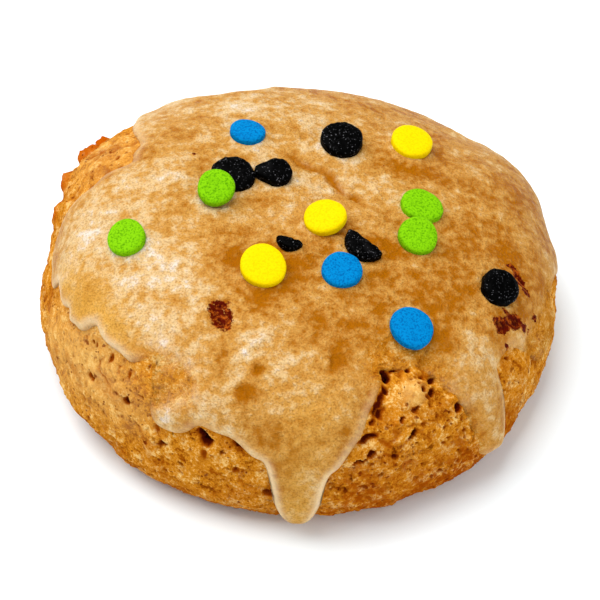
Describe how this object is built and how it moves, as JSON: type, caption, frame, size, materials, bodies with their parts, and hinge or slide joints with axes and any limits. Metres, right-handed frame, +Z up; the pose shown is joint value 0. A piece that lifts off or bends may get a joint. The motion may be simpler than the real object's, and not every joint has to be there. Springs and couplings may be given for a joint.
{
  "type": "spice cookie",
  "caption": "Soft domed spice cookie with a craggy golden side, a flat base and a poured tan icing that drips down it and holds round sugar sprinkles.",
  "frame": {"origin": "under the middle of the cookie, on the surface that its flat base rests on", "axes": "+Z up out of the dome; -Y towards the side with the longest drip; +X to the right seen from that side"},
  "size_m": [0.0637, 0.0633, 0.0282],
  "materials": {
    "dough": "matte baked crumb",
    "icing": "satin translucent sugar glaze",
    "yellow_sugar": "chalky pressed sugar",
    "green_sugar": "chalky pressed sugar",
    "blue_sugar": "chalky pressed sugar",
    "black_sugar": "grainy pressed sugar"
  },
  "bodies": {
    "root": {"cookie": "dough", "icing": "icing"}
  },
  "joints": []
}
